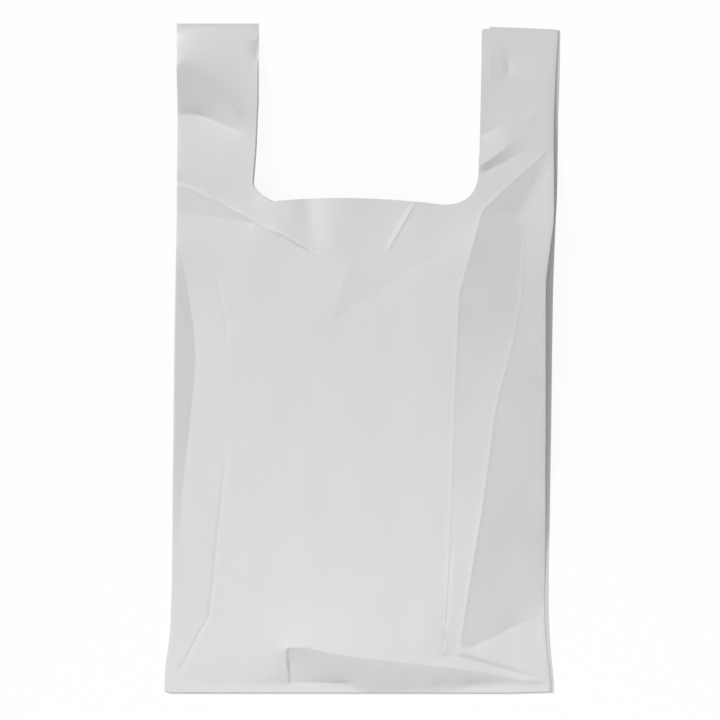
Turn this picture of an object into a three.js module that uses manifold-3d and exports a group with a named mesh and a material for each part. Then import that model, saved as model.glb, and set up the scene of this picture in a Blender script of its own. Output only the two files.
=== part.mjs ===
// A plastic carrier bag of the vest kind, empty, lying on its back with its front panel up.
// Millimetres, +Z up, +Y towards the handles; the origin is on the floor under the middle of the bag.
//
// It is made as the real one is: a tube of film with both sides folded in as gussets, welded across
// the bottom and across the top, and then die-cut so that the two sides stand up as handles. All
// shapes are first worked out on a straight bag, with y measured up from its bottom edge.
import * as THREE from "three";
import { ConvexGeometry } from "three/addons/geometries/ConvexGeometry.js";
import { mergeVertices } from "three/addons/utils/BufferGeometryUtils.js";
import Module from "manifold-3d";

const { lerp, smoothstep } = THREE.MathUtils;
const wasm = await Module();
wasm.setup();

// The bag as it comes off the machine
const LENGTH = 530; // bottom edge to the tops of the handles
const FLAT_WIDTH = 310; // across the bottom weld, where the film lies flat
const HANDLE_WIDTH = 63; // each handle, across its top weld
const GUSSET_MARGIN = 14; // the gusset's inner fold lies this far past the handle's inner edge
const MOUTH_DEPTH = 140; // tops of the handles down to the corners of the mouth
const MOUTH_BOW = 3.5; // the mouth's edge bows up this far between its corners
const MOUTH_RADIUS = 17; // rounding of the mouth's corners
const MOUTH_FLARE = 2; // the cut is this much wider on each side at its foot than at its top
const WELD = 6; // height of each welded band
const FILM = 0.5; // one ply of film, thickened from the real 0.02 so that it makes a solid

// The bag as it lies
const CROWN = 24; // top of the puffed front panel over the floor
const DRAW_IN = 5.5; // each side comes in this far where the body is puffed
const PLY_GAP = 0.8; // air between a panel and the gusset ply that lies against it
const FOLD_GAP = 0.8; // the gusset's inner fold is this wide inside, where it is folded tight
const GUSSET_OPENS = 100; // the gusset opens from a fold to a channel over this length below the mouth
const LEAN = 8; // the handles lie this far to the right of the bottom weld
const TOP_DROP = 6; // the top of the bag falls this far from left to right, across the flat width
const ROW_SPACING = 50; // rows of the panel's facets are at most this far apart
const ROW_LEAST_GAP = 2; // and rows closer than this become one

const weldThickness = 4 * FILM;
const freeLength = LENGTH - 2 * WELD;
const mouthY = LENGTH - MOUTH_DEPTH;
const CLEAR = 5; // how far a cutter runs past what it cuts

// How much of DRAW_IN applies, from the bottom edge (0) to the tops of the handles (1)
const DRAWN_IN = [
  [0, 0],
  [0.06, 0.6],
  [0.12, 1],
  [0.72, 1],
  [1, 0.65],
];

// The folds that run up the front panel, from left to right. Each point is [share of the way from
// the lower to the upper weld, handle widths in from that side, share of CROWN].
const FOLDS = {
  left: {
    edge: [
      [0, 0, 0], [0.058, 0, 0.18], [0.11, 0, 0.38], [0.2, 0, 0.6], [0.35, 0, 0.72], [0.51, 0, 0.78],
      [0.64, 0, 0.71], [0.76, 0, 0.66], [0.875, 0, 0.6], [0.946, 0, 0.4], [1, 0, 0],
    ],
    lip: [
      [0, 0.05, 0], [0.058, 0.05, 0.18], [0.11, 0.05, 0.38], [0.2, 0.06, 0.6], [0.28, 0.1, 0.68],
      [0.42, 0.22, 0.72], [0.51, 0.27, 0.72], [0.64, 0.08, 0.7], [0.76, 0.05, 0.66],
      [0.875, 0.05, 0.6], [0.946, 0.05, 0.4], [1, 0.05, 0],
    ],
    crease: [
      [0, 0.1, 0], [0.058, 0.29, 0.24], [0.11, 0.48, 0.45], [0.28, 0.62, 0.78], [0.51, 0.68, 0.81],
      [0.64, 0.52, 0.77], [0.76, 0.51, 0.73], [0.875, 0.51, 0.64], [0.946, 0.51, 0.42], [1, 0.51, 0],
    ],
    inner: [
      [0, 1, 0], [0.058, 1, 0.4], [0.11, 1, 0.56], [0.2, 1, 0.74], [0.35, 1, 0.86], [0.51, 1, 0.9],
      [0.76, 1, 0.82], [0.83, 1, 0.74], [0.875, 1, 0.66], [0.946, 1, 0.42], [1, 1, 0],
    ],
  },
  middle: [
    [0, 0, 0], [0.058, 0, 0.48], [0.11, 0, 0.63], [0.2, 0, 0.81], [0.35, 0, 0.94], [0.51, 0, 1],
    [0.64, 0, 0.99], [0.76, 0, 0.95], [0.946, 0, 0.6], [1, 0, 0],
  ],
  right: {
    inner: [
      [0, 1.6, 0], [0.058, 1.56, 0.48], [0.11, 1.52, 0.63], [0.2, 1.51, 0.81], [0.42, 1.46, 0.93],
      [0.57, 1.43, 0.96], [0.67, 1.24, 0.95], [0.72, 1.08, 0.93], [0.76, 1, 0.89], [0.83, 1, 0.8],
      [0.875, 1, 0.72], [0.946, 1, 0.48], [1, 1, 0],
    ],
    crest: [
      [0, 1.37, 0], [0.058, 1.33, 0.48], [0.11, 1.29, 0.63], [0.2, 1.27, 0.8], [0.42, 1.24, 0.92],
      [0.57, 1.19, 0.94], [0.67, 1.03, 0.93], [0.72, 0.92, 0.9], [0.83, 0.13, 0.53],
      [0.875, 0.13, 0.5], [0.946, 0.13, 0.34], [1, 0.13, 0],
    ],
    pleat: [
      [0, 1.14, 0], [0.058, 1.13, 0.44], [0.2, 0.94, 0.75], [0.28, 0.84, 0.81], [0.35, 0.78, 0.82],
      [0.42, 0.71, 0.79], [0.57, 0.46, 0.66], [0.64, 0.4, 0.59], [0.72, 0.41, 0.55],
      [0.83, 0.1, 0.5], [0.875, 0.1, 0.48], [0.946, 0.1, 0.32], [1, 0.1, 0],
    ],
    roll: [
      [0, 0.07, 0], [0.058, 0.07, 0.18], [0.11, 0.07, 0.3], [0.2, 0.07, 0.42], [0.35, 0.07, 0.47],
      [0.72, 0.07, 0.48], [0.875, 0.07, 0.47], [0.946, 0.07, 0.31], [1, 0.07, 0],
    ],
    edge: [
      [0, 0, 0], [0.058, 0, 0.1], [0.11, 0, 0.16], [0.2, 0, 0.24], [0.35, 0, 0.27], [0.64, 0, 0.27],
      [0.83, 0, 0.35], [0.875, 0, 0.36], [0.946, 0, 0.25], [1, 0, 0],
    ],
  },
};

// The short fold that runs in from the left shoulder, up off the front panel, from its peak out to
// its feet. A point is [share of the half width from the middle, share of the way between the welds].
const SHOULDER_RISE = 2.5;
const SHOULDER_PEAK = [-0.94, 0.758];
const SHOULDER_FEET = [[-0.97, 0.8], [-0.21, 0.654], [-0.97, 0.716]];

// Linear interpolation down a list of [position, value, value ...], one value at a time
function along(points, position, column = 1) {
  const next = points.findIndex((point) => point[0] >= position);
  if (next === 0) return points[0][column];
  if (next < 0) return points.at(-1)[column];
  const [a, b] = [points[next - 1], points[next]];
  return lerp(a[column], b[column], (position - a[0]) / (b[0] - a[0]));
}

const halfWidth = (y) => FLAT_WIDTH / 2 - DRAW_IN * along(DRAWN_IN, y / LENGTH);
const wayUp = (y) => (y - WELD) / freeLength;
const gussetDepth = HANDLE_WIDTH + GUSSET_MARGIN;

// One fold line as two functions of y: where it is across the bag, and how high it stands
const foldLine = (points, side) => ({
  x: (y) => side * (halfWidth(y) - HANDLE_WIDTH * along(points, wayUp(y))),
  z: (y) => lerp(weldThickness, CROWN, along(points, wayUp(y), 2)),
});
const foldPoints = [...Object.values(FOLDS.left), FOLDS.middle, ...Object.values(FOLDS.right)];
const middleFold = foldPoints.indexOf(FOLDS.middle);
const foldLines = foldPoints.map((points, i) => foldLine(points, Math.sign(i - middleFold)));

// Height of the front panel's outer face: straight across from each fold line to the next
function front(x, y) {
  const right = foldLines.findIndex((line) => line.x(y) >= x);
  if (right <= 0) return (right < 0 ? foldLines.at(-1) : foldLines[0]).z(y);
  const [a, b] = [foldLines[right - 1], foldLines[right]];
  return lerp(a.z(y), b.z(y), (x - a.x(y)) / (b.x(y) - a.x(y)));
}

// The rows of facets between two heights up the bag: every point of a fold, and steps between them
function rows(from, to) {
  const marks = foldPoints.flat().map((point) => WELD + point[0] * freeLength);
  const stops = [from];
  for (const y of marks.sort((a, b) => a - b)) {
    if (y - stops.at(-1) > ROW_LEAST_GAP && to - y > ROW_LEAST_GAP) stops.push(y);
  }
  return [...stops, to].flatMap((y, i) => {
    if (i === 0) return [y];
    const steps = Math.ceil((y - stops[i - 1]) / ROW_SPACING);
    return Array.from({ length: steps }, (_, k) => lerp(stops[i - 1], y, (k + 1) / steps));
  });
}

// A closed manifold from a geometry; triangles whose corners fall together are dropped
function solid(geometry) {
  const bare = new THREE.BufferGeometry().setAttribute("position", geometry.getAttribute("position"));
  if (geometry.index) bare.setIndex(geometry.index);
  const merged = mergeVertices(bare, 1e-4);
  const corners = Array.from(merged.index.array);
  const kept = corners.filter((_, i) => {
    const [a, b, c] = corners.slice(i - (i % 3), i - (i % 3) + 3);
    return a !== b && b !== c && c !== a;
  });
  const vertProperties = merged.getAttribute("position").array;
  return new wasm.Manifold(new wasm.Mesh({ numProp: 3, vertProperties, triVerts: new Uint32Array(kept) }));
}

// A block between two surfaces over the same columns and rows, closed all round
function block(columns, ys, top, bottom) {
  const points = [];
  for (const height of [top, bottom]) {
    for (const y of ys) {
      for (const column of columns) points.push(column(y), y, height(column(y), y));
    }
  }
  const wide = columns.length;
  const at = (face, row, column) => (face * ys.length + row) * wide + column;
  const faces = [];
  const quad = (a, b, c, d) => faces.push(a, b, c, a, c, d);
  for (let r = 0; r + 1 < ys.length; r++) {
    for (let c = 0; c + 1 < wide; c++) {
      quad(at(0, r, c), at(0, r, c + 1), at(0, r + 1, c + 1), at(0, r + 1, c));
      quad(at(1, r, c), at(1, r + 1, c), at(1, r + 1, c + 1), at(1, r, c + 1));
    }
    quad(at(1, r, 0), at(0, r, 0), at(0, r + 1, 0), at(1, r + 1, 0));
    quad(at(0, r, wide - 1), at(1, r, wide - 1), at(1, r + 1, wide - 1), at(0, r + 1, wide - 1));
  }
  const last = ys.length - 1;
  for (let c = 0; c + 1 < wide; c++) {
    quad(at(0, 0, c), at(1, 0, c), at(1, 0, c + 1), at(0, 0, c + 1));
    quad(at(0, last, c), at(0, last, c + 1), at(1, last, c + 1), at(1, last, c));
  }
  const geometry = new THREE.BufferGeometry();
  geometry.setAttribute("position", new THREE.Float32BufferAttribute(points, 3));
  return solid(geometry.setIndex(faces));
}

// The puffed bag as one block, up to the front panel lowered by the inset, with its shoulder fold
function puffedBlock(inset, from, to) {
  const columns = foldLines.map((line, i) => {
    const shift = i === 0 ? inset : i === foldLines.length - 1 ? -inset : 0;
    return (y) => line.x(y) + shift;
  });
  const body = block(columns, rows(from, to), (x, y) => front(x, y) - inset, () => inset);
  return body.add(shoulderFold(inset));
}

function shoulderFold(inset) {
  const onPanel = ([across, up], lift) => {
    const y = WELD + up * freeLength;
    const x = across * halfWidth(y);
    return new THREE.Vector3(x, y, front(x, y) - inset + lift);
  };
  const ground = SHOULDER_FEET.flatMap((foot) => [onPanel(foot, 0), onPanel(foot, -FILM)]);
  return solid(new ConvexGeometry([onPanel(SHOULDER_PEAK, SHOULDER_RISE), ...ground]));
}

// The channel between a gusset's two plies, on one side. It is a tight fold low in the body, opens
// towards the mouth, and in the handle it is the space between the front and the back strap.
function gussetChannel(side, grown) {
  const foldX = (y) => halfWidth(y) - gussetDepth;
  const spare = (x, y) => Math.max(0, front(x, y) - weldThickness);
  const gap = (x, y) => Math.min(PLY_GAP, spare(x, y) / 8);
  const under = (x, y) => front(x, y) - 2 * FILM - gap(x, y);
  const over = (x, y) => 2 * FILM + gap(x, y);
  const opened = (y) => smoothstep(y, mouthY - GUSSET_OPENS, mouthY);
  const share = (x, y) => Math.min(1, Math.max(0, (side * x - foldX(y)) / gussetDepth));
  const onBag = (height) => (x, y) => height(side * Math.min(side * x, halfWidth(y)), y);
  const middle = (y) => front(side * foldX(y), y) / 2;
  const fold = (x, y) => Math.min(FOLD_GAP, spare(x, y) / 4) / 2;
  const top = onBag((x, y) => {
    const folded = lerp(middle(y) + fold(x, y), under(side * halfWidth(y), y), share(x, y));
    return Math.min(under(x, y), lerp(folded, under(x, y), opened(y))) + grown;
  });
  const bottom = onBag((x, y) => {
    const folded = lerp(middle(y) - fold(x, y), over(side * halfWidth(y), y), share(x, y));
    return Math.max(over(x, y), lerp(folded, over(x, y), opened(y))) - grown;
  });
  const shares = [0, 0.25, 0.5, 0.65, 0.78, 0.93, 1];
  const columns = shares.map((s, i) => (y) => {
    const shift = i === 0 ? -grown : 0;
    return foldX(y) + s * gussetDepth + shift;
  });
  columns.push((y) => halfWidth(y) + CLEAR);
  const placed = side > 0 ? columns : columns.map((column) => (y) => -column(y)).reverse();
  return block(placed, rows(WELD, LENGTH - WELD), top, bottom);
}

// What the die cuts away between the handles
function mouthCut() {
  const top = halfWidth(LENGTH) - HANDLE_WIDTH;
  const foot = top + MOUTH_FLARE;
  const shape = new THREE.Shape();
  shape.moveTo(-top, LENGTH + CLEAR);
  shape.lineTo(-foot, mouthY + MOUTH_RADIUS);
  shape.quadraticCurveTo(-foot, mouthY, -foot + MOUTH_RADIUS, mouthY);
  shape.quadraticCurveTo(0, mouthY + 2 * MOUTH_BOW, foot - MOUTH_RADIUS, mouthY);
  shape.quadraticCurveTo(foot, mouthY, foot, mouthY + MOUTH_RADIUS);
  shape.lineTo(top, LENGTH + CLEAR);
  const depth = CROWN + SHOULDER_RISE + 2 * CLEAR;
  const cut = new THREE.ExtrudeGeometry(shape, { depth, bevelEnabled: false, curveSegments: 8 });
  return solid(cut.translate(0, 0, -CLEAR));
}

// The straight bag: a block less its inside, its two gusset channels and the die's cut
function straightBag() {
  const inside = [-1, 1].reduce(
    (space, side) => space.subtract(gussetChannel(side, FILM)),
    puffedBlock(FILM, WELD, LENGTH - WELD),
  );
  const tube = [-1, 1].reduce(
    (film, side) => film.subtract(gussetChannel(side, 0)),
    puffedBlock(0, 0, LENGTH).subtract(inside),
  );
  return tube.subtract(mouthCut());
}

// Where a point of the straight bag comes to lie
function laid(x, y) {
  const up = y / LENGTH;
  return [x + LEAN * up, y - (TOP_DROP / FLAT_WIDTH) * x * up * up];
}

function bagGeometry() {
  const mesh = straightBag().getMesh();
  const points = new Float32Array(mesh.vertProperties);
  for (let i = 0; i < points.length; i += 3) {
    const [x, y] = laid(points[i], points[i + 1]);
    points[i] = x;
    points[i + 1] = y;
  }
  const geometry = new THREE.BufferGeometry();
  geometry.setAttribute("position", new THREE.BufferAttribute(points, 3));
  geometry.setIndex(new THREE.BufferAttribute(new Uint32Array(mesh.triVerts), 1));
  geometry.computeBoundingBox();
  const { min, max } = geometry.boundingBox;
  geometry.translate(-(min.x + max.x) / 2, -(min.y + max.y) / 2, -min.z);
  geometry.computeVertexNormals();
  return geometry;
}

const film = new THREE.MeshStandardMaterial({ color: 0xdadad8, roughness: 0.45, metalness: 0 });
const bag = new THREE.Mesh(bagGeometry(), film);
bag.name = "bag";

const model = new THREE.Group();
model.add(bag);
export default model;
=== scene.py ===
"""A plastic carrier bag of the vest kind, empty and laid on its back on a pale table.

The bag is one tube of thin blown film. Both sides are tucked in as gussets, the bottom and the tops
of the handles are welded, and a die has cut the mouth, so that the two sides stand up as handles.
Sizes are millimetres in the bag's own frame: x to the right, y towards the handles, z up off the
table. They become metres, fitted to the CAD box, when the mesh is made.
"""

import sys

import logging
import math
from dataclasses import dataclass, field
from enum import Enum
from typing import Any

import bmesh
import bpy
import numpy as np
from bpy.types import ID, Material, Mesh, Node, NodeSocket, NodeTree, Object
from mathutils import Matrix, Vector
from mathutils.bvhtree import BVHTree
from mathutils.geometry import delaunay_2d_cdt
from mathutils.kdtree import KDTree


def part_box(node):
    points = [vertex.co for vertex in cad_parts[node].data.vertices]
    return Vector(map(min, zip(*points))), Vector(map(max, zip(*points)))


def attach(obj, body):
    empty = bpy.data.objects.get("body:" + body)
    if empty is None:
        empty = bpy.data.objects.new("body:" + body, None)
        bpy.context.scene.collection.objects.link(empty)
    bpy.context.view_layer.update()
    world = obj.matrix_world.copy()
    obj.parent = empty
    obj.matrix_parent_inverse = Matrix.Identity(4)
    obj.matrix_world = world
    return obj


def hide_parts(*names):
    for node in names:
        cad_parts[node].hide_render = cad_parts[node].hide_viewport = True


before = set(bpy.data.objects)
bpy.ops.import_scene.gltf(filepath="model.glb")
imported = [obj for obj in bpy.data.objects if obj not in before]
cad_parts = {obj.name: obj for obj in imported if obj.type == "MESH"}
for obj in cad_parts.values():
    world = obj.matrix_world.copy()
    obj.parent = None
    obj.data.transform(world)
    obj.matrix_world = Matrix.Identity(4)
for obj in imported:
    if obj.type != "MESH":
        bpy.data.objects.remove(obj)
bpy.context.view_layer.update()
MM = 0.001
NOMINAL = (314.4, 532.9, 24.0)  # the bag's own size, which the CAD box has too
TINY = 1e-6  # keeps what is divided by off nought
SPINE_SAMPLES = 400  # points along a spine, of which every fourth is kept
SPINE_KEPT = 4
log = logging.getLogger("carrier_bag")

Array = np.ndarray
Arrays = tuple[Array, Array]
Pair = tuple[float, float]
Path2 = tuple[Pair, ...]
Path3 = tuple[tuple[float, float, float], ...]


class Side(Enum):
    """The two sides of the bag, as seen from the front."""

    LEFT = -1
    RIGHT = 1


class Ply(Enum):
    """The two outer plies of the bag."""

    FRONT = "front"
    BACK = "back"


# Helpers for curves and lines


def through(stops: Array, values: Array, at: Array) -> Array:
    """A smooth curve through a few stops that never swings past them.

    Args:
        stops: Positions of the stops, rising, as K rows by N points.
        values: The curve's values there, also K by N.
        at: N positions to read the curve at.

    Returns:
        The N values; before the first stop and after the last, the curve holds its end value.
    """
    gaps = np.maximum(np.diff(stops, axis=0), TINY)
    slopes = np.diff(values, axis=0) / gaps
    tangents = np.concatenate([slopes[:1], np.zeros_like(slopes[1:]), slopes[-1:]])
    before, after = slopes[:-1], slopes[1:]
    agree = before * after > 0
    wide, narrow = 2 * gaps[1:] + gaps[:-1], gaps[1:] + 2 * gaps[:-1]
    safe_before, safe_after = np.where(agree, before, 1), np.where(agree, after, 1)
    mean = (wide + narrow) / (wide / safe_before + narrow / safe_after)
    tangents[1:-1] = np.where(agree, mean, 0)
    span = np.clip((at >= stops).sum(axis=0) - 1, 0, len(gaps) - 1)[None]

    def pick(rows: Array) -> Array:
        """Takes the row of the span that each point is in."""
        return np.take_along_axis(rows, span, axis=0)[0]

    gap = pick(gaps)
    t = np.clip((at - pick(stops[:-1])) / gap, 0, 1)
    start, end = pick(values[:-1]), pick(values[1:])
    leave, arrive = pick(tangents[:-1]) * gap, pick(tangents[1:]) * gap
    return (
        (1 + 2 * t) * (1 - t) ** 2 * start
        + t * (1 - t) ** 2 * leave
        + t * t * (3 - 2 * t) * end
        + t * t * (t - 1) * arrive
    )


def curve(stops: Path2, at: Array) -> Array:
    """A smooth curve through a few stops.

    Args:
        stops: The stops, each a position and a value.
        at: Positions to read the curve at.

    Returns:
        The values there.
    """
    positions, values = np.array(stops, float).T
    wide = (len(positions), len(at))
    column = [np.broadcast_to(row[:, None], wide) for row in (positions, values)]
    return through(column[0], column[1], at)


def bend(start: Pair, corner: Pair, end: Pair, steps: int) -> Array:
    """A rounded corner, as a quadratic curve.

    Args:
        start: Where it starts.
        corner: The point that it is pulled towards.
        end: Where it ends.
        steps: How many steps it is made of.

    Returns:
        Its points.
    """
    t = np.linspace(0, 1, steps + 1)[:, None]
    a, b, c = (np.array(point, float) for point in (start, corner, end))
    return (1 - t) ** 2 * a + 2 * t * (1 - t) * b + t * t * c


def spaced(path: Array, step: float) -> Array:
    """Points along a path, a step apart or a little less; every corner of the path is kept.

    Args:
        path: M points by any number of columns, of which the first two are x and y.
        step: The widest gap between points.

    Returns:
        The points, with all their columns.
    """
    points = [path[0]]
    for a, b in zip(path[:-1], path[1:]):
        count = max(1, math.ceil(float(np.hypot(*(b - a)[:2])) / step))
        points += [a + (b - a) * (k + 1) / count for k in range(count)]
    return np.array(points)


def near_path(points: Array, path: Array) -> Arrays:
    """How far points are from a path, and the path's third column where it is nearest.

    Args:
        points: N points of x and y.
        path: M points of x, y and a value.

    Returns:
        N distances and N values.
    """
    best = np.full(len(points), np.inf)
    value = np.zeros(len(points))
    for a, b in zip(path[:-1], path[1:]):
        along = (b - a)[:2]
        t = np.clip((points - a[:2]) @ along / (along @ along), 0, 1)
        distance = np.hypot(*(points - a[:2] - t[:, None] * along).T)
        closer = distance < best
        best = np.where(closer, distance, best)
        value = np.where(closer, a[2] + t * (b[2] - a[2]), value)
    return best, value


def inside(points: Array, loop: Array) -> Array:
    """Which points lie inside a closed loop.

    Args:
        points: N points of x and y.
        loop: The loop's corners.

    Returns:
        True or false for each of the N.
    """
    x, y = points.T
    crossings = np.zeros(len(points), int)
    for a, b in zip(loop, np.roll(loop, -1, axis=0)):
        spans = (a[1] > y) != (b[1] > y)
        if a[1] != b[1]:
            crossings += spans & (x < a[0] + (y - a[1]) / (b[1] - a[1]) * (b[0] - a[0]))
    return crossings % 2 == 1


def clear_of(points: Array, others: Array, distance: float) -> Array:
    """Which points keep a distance from all the others.

    Args:
        points: N points of x and y.
        others: The points to keep clear of.
        distance: How far away a point has to be.

    Returns:
        True or false for each of the N.
    """
    tree = KDTree(len(others))
    for k, point in enumerate(others):
        tree.insert((point[0], point[1], 0), k)
    tree.balance()
    return np.array([tree.find((p[0], p[1], 0))[2] > distance for p in points])


# The flat cut


@dataclass(frozen=True)
class FlatCut:
    """The outline that the side folds, the welds and the die give the bag as it lies.

    An edge is points of y and x. A short, also by y, is how far the front ply's fold stands back
    from the back ply's. The bottom and the tops are points of x and y.
    """

    left_edge: Path2 = (
        (-264, -157.2), (-258, -157.2), (-247, -156.6), (-231, -154.4), (-216, -152.7), (-200, -152.0),
        (-184, -151.3), (-104, -150.4), (-57, -149.6), (6, -148.8), (54, -148.0), (102, -147.1),
        (126, -146.8), (160, -146.7), (200, -146.7), (240, -147.0), (266, -147.5),
    )
    right_edge: Path2 = (
        (-264, 153.0), (-258, 152.8), (-247, 151.8), (-231, 150.4), (-216, 149.4), (-200, 148.8),
        (-184, 148.8), (-104, 149.6), (-57, 150.4), (6, 151.2), (54, 152.0), (102, 153.7), (134, 155.2),
        (189, 156.0), (221, 157.2), (260, 158.0),
    )
    left_short: Path2 = ((-264, 0.4), (266, 0.4))
    right_short: Path2 = (
        (-262, 2.4), (-204, 3.3), (-157, 3.2), (-79, 4.4), (4, 5.6), (58, 6.4), (86, 4.3), (110, 2.2),
        (134, 2.8), (189, 3.4), (221, 3.2), (258, 1.6),
    )
    bottom_short: float = 1.5
    bottom: Path2 = ((-157.2, -265.2), (-152.5, -266.8), (120, -267.0), (152.8, -266.0))
    left_top: Path2 = ((-147.5, 266.4), (-82.6, 265.2))
    right_top: Path2 = ((96.0, 262.0), (101.4, 262.4), (102.2, 263.8), (152, 261.8), (157.8, 260.8))
    gusset_depth: float = 77.0
    fold_radius: float = 0.4
    step: float = 3.0
    mouth_step: float = 2.4
    left_cut_to: float = -70.5  # the x where the cut of the left handle ends
    right_cut_from: float = 76.0  # and where that of the right handle starts
    length: float = 530.0
    row_step: float = 4.0
    mouth_rows: Pair = (374.0, 420.0)  # closer rows round the mouth's corners
    mouth_row_step: float = 1.5
    row_gap: float = 2.0
    plain_rows: Pair = (6.5, 522.0)
    weld_rows: tuple[float, ...] = (1.5, 3.0, 4.5, 6.0, 523.0, 525.0, 527.0, 528.6, 530.0)

    def mouth(self) -> Array:
        """The die's cut from the top of the left handle, round the mouth, to the right handle's top.

        Returns:
            The points of x and y along it.
        """
        left_side = np.array(((-82.6, 265.2), (-82.7, 205.0), (-84.5, 165.0), (-86.6, 139.2)), float)
        left_corner = bend((-86.6, 139.2), (-84.8, 132.6), (-77.5, 128.2), steps=4)
        lip = np.array(((-71.0, 124.0), (-64.0, 124.9)), float)
        bow = bend((-64.0, 124.9), (-10.0, 129.3), (52.0, 122.9), steps=12)
        right_corner = bend((64.0, 121.4), (89.0, 121.0), (93.2, 143.5), steps=10)
        right_side = np.array(((94.2, 165.0), (95.0, 197.0), (95.8, 237.0), (96.0, 262.0)), float)
        return np.concatenate([left_side, left_corner[1:], lip, bow[1:], right_corner, right_side])

    def rows(self) -> Array:
        """Heights of the rows of points up the sides.

        Returns:
            The heights in mm above the bottom edge of a side.
        """
        plain = np.arange(0, self.length, self.row_step)
        at_mouth = np.arange(*self.mouth_rows, self.mouth_row_step)
        kept = plain[(plain < at_mouth[0] - self.row_gap) | (plain > at_mouth[-1] + self.row_gap)]
        low, high = self.plain_rows
        kept = kept[(kept > low) & (kept < high) | (kept == 0)]
        return np.sort(np.concatenate([kept, at_mouth, self.weld_rows]))

    def side(self, side: Side, ply: Ply) -> Arrays:
        """One ply's fold on one side, at every row.

        Args:
            side: The side of the bag.
            ply: The ply; the front one falls a little short of the back one.

        Returns:
            The x and the y of every row, inset by the fold's own radius.
        """
        if side is Side.LEFT:
            edge, short = self.left_edge, self.left_short
            low, high = self.bottom[0][1], self.left_top[0][1]
        else:
            edge, short = self.right_edge, self.right_short
            low, high = self.bottom[-1][1], self.right_top[-1][1]
        inset = self.fold_radius
        if ply is Ply.FRONT:
            low += self.bottom_short
        rows = self.rows()
        y = low + (high - low) * rows / rows[-1]
        if ply is Ply.FRONT:
            inset = inset + curve(short, y)
        return curve(edge, y) - side.value * inset, y

    def cut_x(self, side: Side, y: Array) -> Array:
        """Where the die's cut is on one handle, from the corner of the mouth up.

        Args:
            side: The handle's side.
            y: The heights to read it at.

        Returns:
            The x at those heights.
        """
        path = self.mouth()
        x = path[:, 0]
        half = path[x < self.left_cut_to] if side is Side.LEFT else path[x > self.right_cut_from]
        order = np.argsort(half[:, 1])
        return np.interp(y, half[order, 1], half[order, 0])


# How the front panel stands


@dataclass(frozen=True)
class Spine:
    """A line that runs up the front panel. Each point is (y, x, z)."""

    points: Path3
    cornered: bool = False

    def x(self, y: Array) -> Array:
        """Where the line is across the bag: a smooth curve, or straight from corner to corner.

        Args:
            y: The heights to read it at.

        Returns:
            The x there.
        """
        if self.cornered:
            return np.interp(y, [p[0] for p in self.points], [p[1] for p in self.points])
        return curve(tuple((p[0], p[1]) for p in self.points), y)

    def z(self, y: Array) -> Array:
        """How high the film stands there."""
        return curve(tuple((p[0], p[2]) for p in self.points), y)

    def path(self, step: float) -> Array:
        """The line as points of x, y and a lift of nothing."""
        y = np.linspace(self.points[0][0], self.points[-1][0], SPINE_SAMPLES)
        return spaced(np.stack([self.x(y), y, np.zeros_like(y)], axis=1)[::SPINE_KEPT], step)


@dataclass(frozen=True)
class Crease:
    """A sharp line in the film. Each point is (x, y, lift off the plain panel).

    The pinch lifts the line itself and no film beside it, and white is how far the line is lightened:
    partly the film's real crease whitening, partly a painted highlight along raised lines.
    """

    points: Path3
    pinch: float = 0.0
    white: float = 0.0


Span = tuple[int, int, Crease]


@dataclass(frozen=True)
class Roll:
    """A soft ridge or hollow. Each point is (x, y, lift), and the width is its reach to each side."""

    points: Path3
    width: float


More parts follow.
